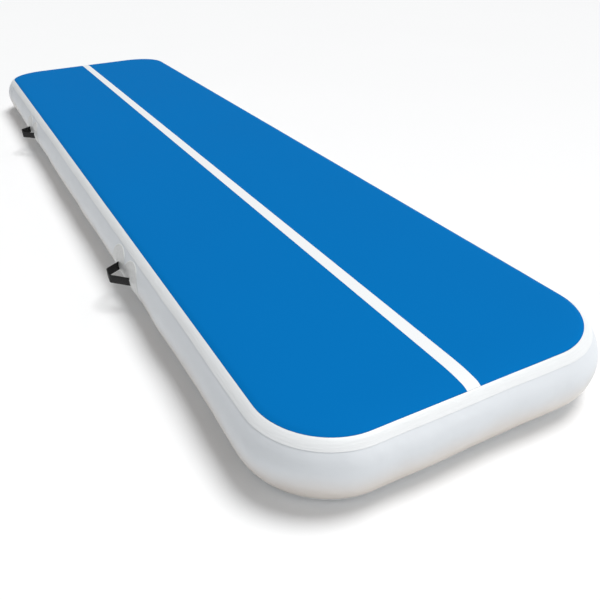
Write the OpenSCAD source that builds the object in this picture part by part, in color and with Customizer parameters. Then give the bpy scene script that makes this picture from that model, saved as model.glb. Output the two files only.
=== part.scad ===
/* [Mat] */
// Length over the end walls
mat_length = 4050; // [2500:50:8000]
// Width over the side walls, without the handles
mat_width = 1050; // [800:10:1600]
// Thickness when inflated
mat_height = 200; // [180:5:280]
// Plan radius of the corners at the widest part of the wall
corner_radius = 245; // [210:5:380]
// Width of the white line down the middle of the deck
stripe_width = 40; // [20:5:80]

/* [Skin] */
// Woven base cloth of the drop-stitch core
cloth_t = 1.2; // [0.8:0.1:2]
// Coated panel bonded over the cloth, above and below
panel_t = 0.9; // [0.6:0.1:2]
// Wall strip
wall_t = 1.5; // [1:0.1:2.5]
// Edge tape and lap strips
tape_t = 0.8; // [0.5:0.1:1.5]
// Bond line left between two layers
bond_gap = 0.3; // [0.3:0.1:0.5]
// Radius of the rolled shoulder between deck and wall
shoulder_radius = 50; // [30:5:60]
// Slope of the skin where the wall meets the deck cloth, above level
seam_angle = 42; // [35:1:50]
// Slope of the skin where the blue panel ends
panel_edge_angle = 68; // [60:1:75]
// How far the edge tape laps down over the wall
tape_lap = 10; // [8:1:10]
// Width of the strip that covers a joint in the wall
lap_strip_width = 60; // [40:5:90]

/* [Core threads] */
// Spacing of the sample of core threads that is modelled
thread_pitch = 190; // [120:10:300]
// Thread bundle diameter
thread_diameter = 1.6; // [1:0.1:3]

/* [Handles] */
// Handle centre to the near end wall
handle_from_near = 1170; // [600:10:1250]
// Handle centre to the far end wall
handle_from_far = 1090; // [600:10:1250]
// Webbing width
webbing_width = 30; // [20:1:38]
// Webbing thickness
webbing_t = 2.2; // [1.5:0.1:3]
// Distance between the two roots of a handle
handle_span = 140; // [110:5:180]
// How far a handle stands out of the wall
handle_reach = 56; // [48:1:80]
// Wall face to the line that a handle swings about
swing_line_out = 10; // [9:0.5:14]
// Round patch welded over each root
patch_diameter = 148; // [144:1:148]
// Thickness of a patch over the webbing end
patch_t = 3; // [2.8:0.1:4]
// Length of webbing welded down under a patch
webbing_tail = 48; // [30:1:55]

/* [Valve] */
// Valve centre to the far end wall
valve_from_far = 420; // [340:10:500]
// Outside diameter of the moulded base
valve_base_diameter = 84; // [80:1:90]
// Inside diameter of the valve mouth
mouth_diameter = 38; // [34:1:38]
// Height of the valve base above the wall
valve_base_height = 4; // [3:0.5:6]
// Travel of the push valve
push_travel = 6; // [4:0.5:6]

/* [Hidden] */

$fn = 96;
BLUE = "#0173bc";
WHITE = "#f2f4f5";
WALL = "#dfe3e6";
CLOTH = "#e8e6df";
WEBBING = "#1b1a1a";
GREY = "#8b9096";
RUBBER = "#33363a";

// Mat section: shoulder and wall arcs share one tangent at the seam
mid_z = mat_height / 2;
shoulder_z = mat_height - shoulder_radius;
tape_radius = (mid_z - shoulder_radius + shoulder_radius * sin(seam_angle)) / sin(seam_angle);
wall_radius = tape_radius - bond_gap - tape_t;
wall_centre = corner_radius - wall_radius;
shoulder_centre = wall_centre + (tape_radius - shoulder_radius) * cos(seam_angle);
cloth_outer = shoulder_radius - panel_t - bond_gap;
half_w = mat_width / 2 - corner_radius;
half_l = mat_length / 2 - corner_radius;
joint_slack = 0.4;
// Angle that a length of arc covers at a radius
function swept(len, r) = len / r * 180 / PI;
tape_start = panel_edge_angle - swept(bond_gap, shoulder_radius);
cloth_end = seam_angle + swept(bond_gap, shoulder_radius);
wall_end = seam_angle - swept(bond_gap, wall_radius);
tape_end = seam_angle - swept(tape_lap, tape_radius);
// Layers on the wall stop short of the tape at this slope
layer_end = tape_end - 2 * swept(bond_gap, wall_radius);
shoulder_steps = 6;
wall_steps = 12;
short_steps = 3;

// Wall joints: one on the right wall by the near corner, one on the left wall by the far corner
joint_right_y = -half_l + lap_strip_width;
joint_left_y = half_l - lap_strip_width;

// Handles: near and far on each long wall
near_handle_y = -mat_length / 2 + handle_from_near;
far_handle_y = mat_length / 2 - handle_from_far;
HANDLES = [[-1, near_handle_y], [-1, far_handle_y], [1, near_handle_y], [1, far_handle_y]];
strap_half = webbing_width / 2;
// Radius about the swing line at which the fixed ends stop and the loop begins: a little over
// half the webbing, so that the round cut crosses the band's whole width
swing_radius = 1.12 * strap_half;
swing_gap = 0.4;
pocket_slack = 0.35;
// Webbing pressed flat under its patch, and the slope that its sheet is cut from
tail_t = webbing_t - 0.6;
tail_reach = 20;
slit_slack = 0.8;
// The legs of a handle are tangents from its roots to the round grip
grip_radius = 16;
grip_centre = [handle_reach - grip_radius, 0];
leg_root = [0, handle_span / 2];
leg_chord = leg_root - grip_centre;
grip_angle = atan2(leg_chord[1], leg_chord[0]) - acos(grip_radius / norm(leg_chord));
grip_steps = 6;
leg_end = grip_centre + grip_radius * [cos(grip_angle), sin(grip_angle)];
// How far a leg leans along the wall for each millimetre out, and its half width there
leg_lean = (leg_root[1] - leg_end[1]) / (leg_end[0] - leg_root[0]);
leg_half = webbing_t / 2 * sqrt(1 + leg_lean * leg_lean);

// Valve: distances are out from the face of the wall, along X
valve_y = mat_length / 2 - valve_from_far;
mouth_r = mouth_diameter / 2;
neck_wall = 5;
neck_r = mouth_r + neck_wall;
neck_slack = 0.5;
collar_step = 3;
collar_r = neck_r + collar_step;
flange_r = collar_r + collar_step;
ring_t = 2;
ring_play = 0.25;
ring_slack = 0.08;
ring_rim = 2;
base_play = 0.1;
collar_top = valve_base_height + ring_t + 2 * ring_play;
flange_t = 2.5;
flange_top = collar_top + flange_t;
neck_depth = 24;
nut_t = 7;
washer_in = 10;
nut_wall = 7;
nut_r = neck_r + nut_wall;
nut_sides = 12;
thread_slack = 0.1;
seat_t = 2;
seat_ledge = 4;
seat_r = mouth_r - seat_ledge;
spider_depth = 12;
spider_t = 2.5;
rib_t = 3;
rib_bite = 0.5;
hub_r = 8.5;
cup_wall = 1.5;
cup_depth = push_travel + 1;
stem_r = 3;
stem_slack = 0.08;
spring_r = 5.2;
spring_wire = 1.1;
spring_turns = 6;
spring_slack = 0.05;
button_r = 7.6;
button_t = 2.5;
button_out = -0.5;
disc_t = 2;
disc_r = seat_r + 3;
seal_t = 1.2;
seal_outer = seat_r + 2.5;
seal_inner = seat_r - 3;
cap_t = 3;
cap_inset = 1;
cap_r = flange_r - cap_inset;
cap_play = 0.3;
cap_out = flange_top + cap_play;
plug_r = mouth_r - 0.8;
plug_depth = 7;
plug_wall = 2;
cap_seal_r = mouth_r - 0.1;
cap_seal_t = 1.8;
cap_seal_below = 0.6;
cap_seal_slack = 0.05;
hinge_drop = 0.5;
hinge_out = flange_top - hinge_drop;
hinge_reach = 8;
hinge_at = flange_r + hinge_reach;
pin_r = 1;
pin_slack = 0.08;
knuckle_r = 2.2;
knuckle_len = 6;
ear_t = 2;
ear_gap = 0.3;

function arc(c, r, a0, a1, n) = [for (i = [0:n]) let (a = a0 + (a1 - a0) * i / n) c + r * [cos(a), sin(a)]];
function band(c, r0, r1, a0, a1, n) = concat(arc(c, r1, a0, a1, n), arc(c, r0, a1, a0, n));

// Section of a sheet that runs level from the corner centre and rolls over the shoulder
module sheet_section(outer, inner, end, steps) {
    c = [shoulder_centre, shoulder_z];
    polygon(concat([[0, shoulder_z + inner], [0, shoulder_z + outer]],
        arc(c, outer, 90, end, steps), arc(c, inner, end, 90, steps)));
}

// Section of a layer on the wall, between two heights given as angles
module wall_section(inner, outer, from, to, steps) {
    polygon(band([wall_centre, mid_z], inner, outer, from, to, steps));
}

// Runs a section once round the plan of the mat
module around_mat() {
    for (turn = [0, 90, 180, 270]) {
        across = turn % 180 == 0;
        rotate(turn)
            translate([across ? half_w : half_l, 0, 0])
                rotate([90, 0, 0])
                    linear_extrude(2 * (across ? half_l : half_w), center = true) children();
        rotate(turn)
            translate([across ? half_w : half_l, across ? half_l : half_w, 0])
                rotate_extrude(angle = 90) children();
    }
}

// A whole upper sheet: level middle and rolled edges
module upper_sheet(outer, inner, end, steps) {
    around_mat() sheet_section(outer, inner, end, steps);
    translate([-half_w, -half_l, shoulder_z + inner]) cube([2 * half_w, 2 * half_l, outer - inner]);
}

module upside_down() {
    translate([0, 0, mat_height]) mirror([0, 0, 1]) children();
}

module keep_x(from, to) {
    intersection() {
        children();
        translate([from, -mat_length, -mat_height]) cube([to - from, 2 * mat_length, 3 * mat_height]);
    }
}

module top_cloth() {
    color(CLOTH) upper_sheet(cloth_outer, cloth_outer - cloth_t, cloth_end, shoulder_steps);
}

module bottom_cloth() {
    color(CLOTH) upside_down() upper_sheet(cloth_outer, cloth_outer - cloth_t, cloth_end, shoulder_steps);
}

// A coarse sample of the many threads that hold the two cloths level
module core_threads() {
    cloth_in = panel_t + bond_gap + cloth_t;
    nx = floor(half_w * 2 / thread_pitch);
    ny = floor(half_l * 2 / thread_pitch);
    color(CLOTH)
        for (i = [0:nx], j = [0:ny])
            translate([(i - nx / 2) * thread_pitch, (j - ny / 2) * thread_pitch, cloth_in])
                cylinder(d = thread_diameter, h = mat_height - 2 * cloth_in, $fn = 16);
}

module panel() {
    upper_sheet(shoulder_radius, shoulder_radius - panel_t, panel_edge_angle, short_steps);
}

module deck_left() {
    color(BLUE) keep_x(-mat_width, -stripe_width / 2 - bond_gap / 2) panel();
}

module deck_right() {
    color(BLUE) keep_x(stripe_width / 2 + bond_gap / 2, mat_width) panel();
}

module centre_line() {
    color(WHITE) keep_x(-stripe_width / 2 + bond_gap / 2, stripe_width / 2 - bond_gap / 2) panel();
}

module bottom_panel() {
    color(GREY) upside_down() panel();
}

// Tape over the shoulder, lapped down over the top of the wall
module tape() {
    around_mat()
        polygon(concat(
            arc([shoulder_centre, shoulder_z], shoulder_radius, tape_start, seam_angle, short_steps),
            arc([wall_centre, mid_z], tape_radius, seam_angle, tape_end, short_steps),
            arc([wall_centre, mid_z], tape_radius - tape_t, tape_end, seam_angle, short_steps),
            arc([shoulder_centre, shoulder_z], shoulder_radius - tape_t, seam_angle, tape_start,
                short_steps)));
}

module edge_tape_top() {
    color(WHITE) tape();
}

module edge_tape_bottom() {
    color(WHITE) upside_down() tape();
}

module wall() {
    around_mat() wall_section(wall_radius - wall_t, wall_radius, wall_end, -wall_end, wall_steps);
}

// Plan area of the far strip: the right wall past its joint and everything past the left joint
module far_area(grow) {
    translate([0, 0, -mat_height])
        linear_extrude(3 * mat_height)
            polygon([[0, joint_right_y - grow], [mat_width, joint_right_y - grow],
                [mat_width, mat_length], [-mat_width, mat_length],
                [-mat_width, joint_left_y - grow], [0, joint_left_y - grow]]);
}

module wall_strip_near() {
    color(WALL) difference() {
        wall();
        far_area(joint_slack);
    }
}

module wall_strip_far() {
    color(WALL) difference() {
        intersection() {
            wall();
            far_area(0);
        }
        at_valve() along(-wall_radius / 2, wall_radius) circle(neck_r + neck_slack);
    }
}

// A layer that lies on the wall of one long side, out from the wall face by two distances
module on_wall(side, y, len, low, high, limit) {
    mirror([side < 0 ? 1 : 0, 0, 0])
        translate([half_w, y, 0])
            rotate([90, 0, 0])
                linear_extrude(len, center = true)
                    wall_section(wall_radius + low, wall_radius + high, limit, -limit, wall_steps);
}

module wall_laps() {
    color(WALL) {
        on_wall(1, joint_right_y, lap_strip_width, bond_gap, bond_gap + tape_t, layer_end);
        on_wall(-1, joint_left_y, lap_strip_width, bond_gap, bond_gap + tape_t, layer_end);
    }
}

// Handle frame: X out from the wall face, Y along the wall, Z up from the swing line's height
module at_handle(i) {
    h = HANDLES[i - 1];
    mirror([h[0] < 0 ? 1 : 0, 0, 0]) translate([mat_width / 2, h[1], mid_z]) children();
}

// Midline of the webbing between its roots
function strap_path() = concat([leg_root], arc(grip_centre, grip_radius, grip_angle, -grip_angle, grip_steps),
    [[leg_root[0], -leg_root[1]]]);

function across(a, b) = let (d = (b - a) / norm(b - a)) [-d[1], d[0]];

// Point k of a path, moved sideways and mitred
function mitred(p, k, w) =
    k == 0 ? p[0] + w * across(p[0], p[1])
    : k == len(p) - 1 ? p[k] + w * across(p[k - 1], p[k])
    : let (a = across(p[k - 1], p[k]), b = across(p[k], p[k + 1]), m = (a + b) / norm(a + b))
        p[k] + w / (m * a) * m;

module strap_plan(width) {
    p = strap_path();
    last = len(p) - 1;
    polygon(concat([for (k = [0:last]) mitred(p, k, width / 2)],
        [for (k = [last:-1:0]) mitred(p, k, -width / 2)]));
}

module strap_solid() {
    translate([0, 0, -strap_half]) linear_extrude(webbing_width) strap_plan(webbing_t);
}

module swing_drum(r) {
    translate([swing_line_out, 0, 0]) rotate([90, 0, 0]) cylinder(r = r, h = 2 * handle_span, center = true);
}

// The webbing tails lie flat on the wall, out from each root
module tails(i, slack) {
    h = HANDLES[i - 1];
    start = handle_span / 2 - webbing_t;
    for (s = [-1, 1])
        intersection() {
            on_wall(h[0], h[1] + s * (start + webbing_tail / 2), webbing_tail + 2 * slack,
                bond_gap - 3 * slack, bond_gap + tail_t + slack, tail_reach);
            translate([-mat_width, -mat_length, mid_z - strap_half - slack])
                cube([2 * mat_width, 2 * mat_length, webbing_width + 2 * slack]);
        }
}

module handle_patches(i) {
    h = HANDLES[i - 1];
    color(WHITE) difference() {
        intersection() {
            on_wall(h[0], h[1], handle_span + patch_diameter, bond_gap, bond_gap + patch_t, layer_end);
            at_handle(i)
                for (s = [-1, 1])
                    translate([-mat_height / 2, s * handle_span / 2, 0])
                        rotate([0, 90, 0]) cylinder(d = patch_diameter, h = mat_height);
        }
        tails(i, pocket_slack);
        at_handle(i)
            for (s = [0, 1]) {
                out = bond_gap + patch_t;
                low = handle_span / 2 - leg_lean * out - leg_half - slit_slack;
                high = handle_span / 2 + leg_half + slit_slack;
                mirror([0, s, 0])
                    translate([-out, low, -strap_half - slit_slack])
                        cube([3 * out, high - low, webbing_width + 2 * slit_slack]);
            }
    }
}

module handle_ends(i) {
    color(WEBBING) {
        tails(i, 0);
        at_handle(i)
            intersection() {
                strap_solid();
                union() {
                    swing_drum(swing_radius);
                    translate([bond_gap, -handle_span, -strap_half])
                        cube([swing_line_out, 2 * handle_span, webbing_width]);
                }
                translate([bond_gap, -handle_span, -strap_half])
                    cube([handle_reach, 2 * handle_span, webbing_width]);
            }
    }
}

module handle_strap(i) {
    color(WEBBING)
        at_handle(i)
            difference() {
                strap_solid();
                swing_drum(swing_radius + swing_gap);
                translate([-swing_line_out, -handle_span, -webbing_width])
                    cube([2 * swing_line_out, 2 * handle_span, 2 * webbing_width]);
            }
}

// Valve frame: X out from the wall face along the valve's axis
module at_valve() {
    translate([mat_width / 2, valve_y, mid_z]) children();
}

// A flat shape, square to the valve's axis, between two distances out from the wall face
module along(from, to) {
    translate([from, 0, 0]) rotate([90, 0, 90]) linear_extrude(to - from) children();
}

module ring(outer, inner) {
    difference() {
        circle(outer);
        circle(inner);
    }
}

// The solid inside the wall's curve, at an offset from its face
module wall_curve(offset) {
    translate([-wall_radius, 0, 0])
        rotate([90, 0, 0]) cylinder(r = wall_radius + offset, h = 2 * valve_base_diameter, center = true);
}

module valve_base() {
    color(WHITE) at_valve() difference() {
        along(-valve_base_diameter / 2, valve_base_height) circle(d = valve_base_diameter);
        wall_curve(bond_gap);
        along(-valve_base_diameter, valve_base_diameter) circle(neck_r + neck_slack);
    }
}

module valve_body() {
    color(GREY) at_valve() {
        along(collar_top, flange_top) ring(flange_r, mouth_r);
        along(valve_base_height + base_play, collar_top) ring(collar_r, mouth_r);
        along(-neck_depth, valve_base_height + base_play) ring(neck_r, mouth_r);
        along(-neck_depth, seat_t - neck_depth) ring(mouth_r, seat_r);
        // Spider with the spring cup and the guide for the stem
        along(-spider_depth - cup_depth + spider_t, -spider_depth + spider_t) ring(hub_r, hub_r - cup_wall);
        along(-spider_depth - cup_depth, -spider_depth - cup_depth + spider_t) {
            ring(hub_r, stem_r + stem_slack);
            for (a = [0, 120, 240])
                rotate(a) translate([hub_r - rib_bite, -rib_t / 2]) square([mouth_r - hub_r + 2 * rib_bite, rib_t]);
        }
    }
}

module valve_washer() {
    color(RUBBER) at_valve() intersection() {
        along(-washer_in, 0) ring(nut_r, neck_r + neck_slack);
        wall_curve(-wall_t - bond_gap);
    }
}

module valve_nut() {
    color(GREY) at_valve() along(-washer_in - bond_gap - nut_t, -washer_in - bond_gap)
        difference() {
            circle(nut_r, $fn = nut_sides);
            circle(neck_r + thread_slack);
        }
}

module valve_poppet() {
    color(WHITE) at_valve() {
        along(button_out - button_t, button_out) circle(button_r);
        along(-neck_depth - seal_t - disc_t, button_out - button_t) circle(stem_r);
        along(-neck_depth - seal_t - disc_t, -neck_depth - seal_t) circle(disc_r);
    }
}

module poppet_seal() {
    color(RUBBER) at_valve() along(-neck_depth - seal_t, -neck_depth) ring(seal_outer, seal_inner);
}

// Coil round the stem, from the button down to the floor of the spring cup
module valve_spring() {
    top = button_out - button_t - spring_slack;
    bottom = -spider_depth - cup_depth + spider_t + spring_slack;
    sides = 8;
    per_turn = 20;
    n = spring_turns * per_turn;
    w = spring_wire / 2;
    run = top - bottom - 2 * w;
    points = [for (k = [0:n], s = [0:sides - 1])
        let (a = 360 * k / per_turn, b = 360 * s / sides, r = spring_r + w * cos(b))
        [bottom + w + run * k / n + w * sin(b), r * cos(a), r * sin(a)]];
    skin = [for (k = [0:n - 1], s = [0:sides - 1])
        let (t = (s + 1) % sides)
        [k * sides + s, (k + 1) * sides + s, (k + 1) * sides + t, k * sides + t]];
    start = [[for (s = [0:sides - 1]) s]];
    finish = [[for (s = [sides - 1:-1:0]) n * sides + s]];
    color(GREY) at_valve() polyhedron(points, concat(skin, start, finish), convexity = 10);
}

// Cap hinge: pin along Y, below the mouth
module at_hinge() {
    translate([hinge_out, 0, -hinge_at]) rotate([90, 0, 0]) children();
}

module cap_tether() {
    ear_at = knuckle_len / 2 + ear_gap;
    arm_half = ear_at + ear_t;
    ring_out = valve_base_height + ring_play;
    color(RUBBER) at_valve() {
        along(ring_out, ring_out + ring_t)
            difference() {
                union() {
                    circle(flange_r + ring_rim);
                    translate([-arm_half, -hinge_at - knuckle_r]) square([2 * arm_half, hinge_at - collar_r]);
                }
                circle(collar_r + ring_slack);
                translate([-ear_at, -hinge_at - 2 * knuckle_r]) square([2 * ear_at, 4 * knuckle_r]);
            }
        for (s = [-1, 1])
            translate([0, s * (ear_at + ear_t / 2), 0]) {
                at_hinge() cylinder(r = knuckle_r, h = ear_t, center = true);
                translate([ring_out, -ear_t / 2, -hinge_at - knuckle_r])
                    cube([hinge_out - ring_out, ear_t, 2 * knuckle_r]);
            }
        at_hinge() cylinder(r = pin_r, h = 2 * arm_half, center = true);
    }
}

module valve_cap() {
    color(RUBBER) at_valve() difference() {
        union() {
            along(cap_out, cap_out + cap_t) circle(cap_r);
            along(cap_out - plug_depth, cap_out) ring(plug_r, plug_r - plug_wall);
            translate([cap_out, -knuckle_len / 2, -hinge_at]) cube([cap_t, knuckle_len, hinge_at - cap_r + cap_inset]);
            at_hinge() cylinder(r = knuckle_r, h = knuckle_len, center = true);
            translate([hinge_out, -knuckle_len / 2, -hinge_at - knuckle_r])
                cube([cap_out + cap_t - hinge_out, knuckle_len, 2 * knuckle_r]);
        }
        at_hinge() cylinder(r = pin_r + pin_slack, h = 2 * knuckle_len, center = true);
    }
}

module cap_seal() {
    color(RUBBER) at_valve() along(cap_out - cap_seal_below - cap_seal_t, cap_out - cap_seal_below)
        ring(cap_seal_r, plug_r + cap_seal_slack);
}

top_cloth();
bottom_cloth();
core_threads();
deck_left();
deck_right();
centre_line();
bottom_panel();
edge_tape_top();
edge_tape_bottom();
wall_strip_near();
wall_strip_far();
wall_laps();
for (i = [1:4]) {
    handle_patches(i);
    handle_ends(i);
    handle_strap(i);
}
valve_base();
valve_body();
valve_washer();
valve_nut();
valve_poppet();
poppet_seal();
valve_spring();
cap_tether();
valve_cap();
cap_seal();
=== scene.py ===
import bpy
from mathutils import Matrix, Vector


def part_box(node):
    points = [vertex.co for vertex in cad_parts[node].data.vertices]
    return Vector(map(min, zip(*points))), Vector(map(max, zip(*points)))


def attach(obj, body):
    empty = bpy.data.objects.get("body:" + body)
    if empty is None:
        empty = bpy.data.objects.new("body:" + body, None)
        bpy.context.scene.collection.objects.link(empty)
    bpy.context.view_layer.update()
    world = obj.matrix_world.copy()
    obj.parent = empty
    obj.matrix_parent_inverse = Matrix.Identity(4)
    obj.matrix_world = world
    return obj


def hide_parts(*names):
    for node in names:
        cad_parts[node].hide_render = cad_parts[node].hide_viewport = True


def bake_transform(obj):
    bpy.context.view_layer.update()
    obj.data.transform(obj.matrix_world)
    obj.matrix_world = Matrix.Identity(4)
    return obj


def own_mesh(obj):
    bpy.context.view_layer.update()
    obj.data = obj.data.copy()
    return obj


bl_info = {
    "name": "Air track mat",
    "version": (1, 0, 0),
    "blender": (4, 5, 0),
    "location": "3D View > Sidebar > Air track",
    "description": "Dresses the packed air track mat: skin, edge tape, handles, valve and studio",
    "category": "Object",
}

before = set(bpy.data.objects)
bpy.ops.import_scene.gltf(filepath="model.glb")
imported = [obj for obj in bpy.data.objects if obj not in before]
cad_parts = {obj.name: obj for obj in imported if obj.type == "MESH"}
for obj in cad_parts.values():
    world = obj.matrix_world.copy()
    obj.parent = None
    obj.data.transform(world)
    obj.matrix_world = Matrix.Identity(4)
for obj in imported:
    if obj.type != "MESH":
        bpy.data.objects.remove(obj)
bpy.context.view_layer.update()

import math
import random

import bmesh
import bpy
from bpy.props import FloatProperty, FloatVectorProperty, IntProperty, PointerProperty
from mathutils import Matrix, Vector
from mathutils.bvhtree import BVHTree

WALL_TOP_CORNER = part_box("wall_strip_far")[1]

# Heights between which the roll of the rim fades in, as shares of the height of the wall's widest part
ROLL_FOOT, ROLL_HEAD = 1.2, 1.96
# The wall swells fully within SWELL_FULL metres of its middle height, and by SEAM_SWELL of that past SWELL_LOW
SWELL_FULL, SWELL_LOW, SEAM_SWELL = 0.045, 0.095, 0.25


def linear(code):
    """An sRGB hex code as the linear colour that a shader takes."""
    channels = [int(code[i:i + 2], 16) / 255 for i in (0, 2, 4)]
    return tuple(c / 12.92 if c <= 0.04045 else ((c + 0.055) / 1.055) ** 2.4 for c in channels)


def length(label, words, default):
    return FloatProperty(name=label, description=words, default=default, unit="LENGTH", precision=4)


def colour(label, words, code):
    return FloatVectorProperty(name=label, description=words, default=linear(code), subtype="COLOR",
                               size=3, min=0, max=1)


class AIRTRACK_PG_sizes(bpy.types.PropertyGroup):
    mat_width: length("Mat width", "Over the bulged side walls", 2 * WALL_TOP_CORNER.x)
    mat_length: length("Mat length", "Over the bulged end walls", 2 * WALL_TOP_CORNER.y)
    mat_height: length("Mat height", "Floor to deck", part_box("deck_left")[1].z)
    corner_radius: length("Corner radius", "Plan radius at the widest part of the wall", 0.245)
    shoulder_radius: length("Shoulder radius", "Roll of the skin between deck and wall", 0.05)
    seam_angle: FloatProperty(name="Seam slope", description="Slope of the skin at the wall seam",
                              default=math.radians(42), subtype="ANGLE")
    deck_angle: FloatProperty(name="Deck edge slope", description="Slope of the skin at the deck panel's edge",
                              default=math.radians(68), subtype="ANGLE")
    deck_thickness: length("Deck thickness", "Coated deck panel", 0.0009)
    cloth_thickness: length("Cloth thickness", "Woven cloth under the panel", 0.0012)
    wall_thickness: length("Wall thickness", "Wall strip", 0.0015)
    tape_thickness: length("Tape thickness", "Edge tape and lap strips", 0.0008)
    tape_lap: length("Tape lap", "How far the tape runs down over the wall", 0.010)
    bond_gap: length("Bond line", "Glue line between two layers", 0.0003)
    end_roll: length("End roll", "How far the deck rolls down at its two ends", 0.010)
    side_roll: length("Side roll", "How far the deck rolls down along its sides", 0.003)
    roll_width: length("Roll width", "Width of the deck's rolled rim", 0.125)
    rib_count: IntProperty(name="Cap ribs", description="Grip ribs round the valve's cap", default=40, min=3)
    push_travel: length("Push travel", "Way the valve's poppet goes in", 0.006)
    wave_height: length("Wave height", "Unevenness of the inflated wall", 0.0034)
    wave_size: length("Wave size", "Length of one swell along the wall", 0.28)
    path_step: length("Path step", "Spacing of sections round the mat", 0.02)
    lap_width: length("Lap strip width", "Strip over a joint in the wall", 0.060)
    webbing_width: length("Webbing width", "Handle webbing", 0.030)
    webbing_thickness: length("Webbing thickness", "Handle webbing", 0.0022)
    handle_span: length("Handle span", "Between the two roots of a handle", 0.140)
    handle_reach: length("Handle reach", "Wall to the outside of the grip", 0.055)
    handle_skew: length("Handle skew", "How far the grip sits towards the far end", 0.015)
    grip_length: length("Grip length", "Straight part of a handle", 0.046)
    grip_lean: length("Grip lean", "How much nearer the wall the far end of the grip is", 0.004)
    root_bend: length("Root bend", "Radius of the webbing's fold at a root", 0.004)
    grip_bend: length("Grip bend", "Radius of the webbing's fold at the grip", 0.010)
    tail_length: length("Tail length", "Webbing hidden under a patch", 0.030)
    patch_diameter: length("Patch diameter", "Round patch over a root", 0.148)
    patch_thickness: length("Patch thickness", "Round patch over a root", 0.0013)
    pucker_height: length("Pucker height", "Creases round a root", 0.0022)


class AIRTRACK_PG_colours(bpy.types.PropertyGroup):
    deck: colour("Deck", "Coated deck panels", "0070B8")
    tape: colour("Edge tape", "Welded edge tape and centre line", "F3F5F6")
    wall: colour("Wall", "Side wall", "E0E4E8")
    # Painted shade: the side wall's colour near the floor, darker and warmer than higher up
    wall_low_painted_shade: colour("Wall, low down", "Side wall near the floor, where it picks up dust", "D3CCC5")
    patch: colour("Patches", "Patches over the handle roots", "E1E2E1")
    base: colour("Underside", "Panel that lies on the floor", "8B9096")
    cloth: colour("Core cloth", "Woven base cloth and threads", "E8E6DF")
    webbing: colour("Webbing", "Handle webbing", "121213")
    housing: colour("Valve housing", "Moulded valve body and nut", "5B6066")
    poppet: colour("Valve poppet", "Push valve", "E6E8EA")
    cap: colour("Valve cap", "Cap and tether", "2E3134")
    rubber: colour("Seals", "Valve seals", "232527")
    wire: colour("Spring", "Valve spring", "B9BCC0")
    floor: colour("Floor", "Studio floor", "FBFBFB")


def add(tree, kind, inputs=None, **settings):
    """Adds one node with its settings. Each input is a value or the socket that feeds it."""
    node = tree.nodes.new(kind)
    for key, value in settings.items():
        setattr(node, key, value)
    for key, value in (inputs or {}).items():
        if isinstance(value, bpy.types.NodeSocket):
            tree.links.new(value, node.inputs[key])
        else:
            node.inputs[key].default_value = value
    return node


def new_material(name):
    """An empty material with its shader wired to its output."""
    mat = bpy.data.materials.new(name)
    mat.use_nodes = True
    tree = mat.node_tree
    tree.nodes.clear()
    shader = add(tree, "ShaderNodeBsdfPrincipled")
    add(tree, "ShaderNodeOutputMaterial", {"Surface": shader.outputs[0]})
    return mat, tree, shader


def rgba(c, factor=1.0):
    return (c[0] * factor, c[1] * factor, c[2] * factor, 1.0)


def coated_deck_pvc(c):
    """Calendered PVC on knitted scrim: even colour, low soft gloss and a leather-like emboss."""
    mat, t, bsdf = new_material("coated_deck_pvc")
    where = add(t, "ShaderNodeTexCoord").outputs["Object"]
    # Slow change of depth of colour over about half a metre
    cloud = add(t, "ShaderNodeTexNoise", {"Vector": where, "Scale": 2.0, "Detail": 2.0})
    tone = add(t, "ShaderNodeMix",
               {"Factor": cloud.outputs[0], "A": rgba(c.deck, 0.975), "B": rgba(c.deck, 1.02)},
               data_type="RGBA")
    t.links.new(tone.outputs["Result"], bsdf.inputs["Base Color"])
    # Emboss grain of 1.2 mm, drawn at 3 mm so that it shows
    grain = add(t, "ShaderNodeTexVoronoi", {"Vector": where, "Scale": 1 / 0.003}, feature="SMOOTH_F1")
    bump = add(t, "ShaderNodeBump", {"Strength": 0.25, "Distance": 0.0002, "Height": grain.outputs["Distance"]})
    t.links.new(bump.outputs[0], bsdf.inputs["Normal"])
    gloss = add(t, "ShaderNodeMapRange", {0: cloud.outputs[0], 3: 0.68, 4: 0.78})
    t.links.new(gloss.outputs[0], bsdf.inputs["Roughness"])
    bsdf.inputs["IOR"].default_value = 1.5
    bsdf.inputs["Specular IOR Level"].default_value = 0.03
    return mat


def line_pvc(c):
    """The centre line: the deck's coated PVC in white, with the same emboss and a little more gloss."""
    mat, t, bsdf = new_material("line_pvc")
    where = add(t, "ShaderNodeTexCoord").outputs["Object"]
    # Emboss grain of 1.2 mm, drawn at 3 mm
    grain = add(t, "ShaderNodeTexVoronoi", {"Vector": where, "Scale": 1 / 0.003}, feature="SMOOTH_F1")
    bump = add(t, "ShaderNodeBump", {"Strength": 0.25, "Distance": 0.0002, "Height": grain.outputs["Distance"]})
    t.links.new(bump.outputs[0], bsdf.inputs["Normal"])
    cloud = add(t, "ShaderNodeTexNoise", {"Vector": where, "Scale": 2.0, "Detail": 2.0})
    tone = add(t, "ShaderNodeMix", {"Factor": cloud.outputs[0], "A": rgba(c.tape, 0.97), "B": rgba(c.tape)},
               data_type="RGBA")
    t.links.new(tone.outputs["Result"], bsdf.inputs["Base Color"])
    bsdf.inputs["Roughness"].default_value = 0.5
    bsdf.inputs["Specular IOR Level"].default_value = 0.3
    return mat


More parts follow.
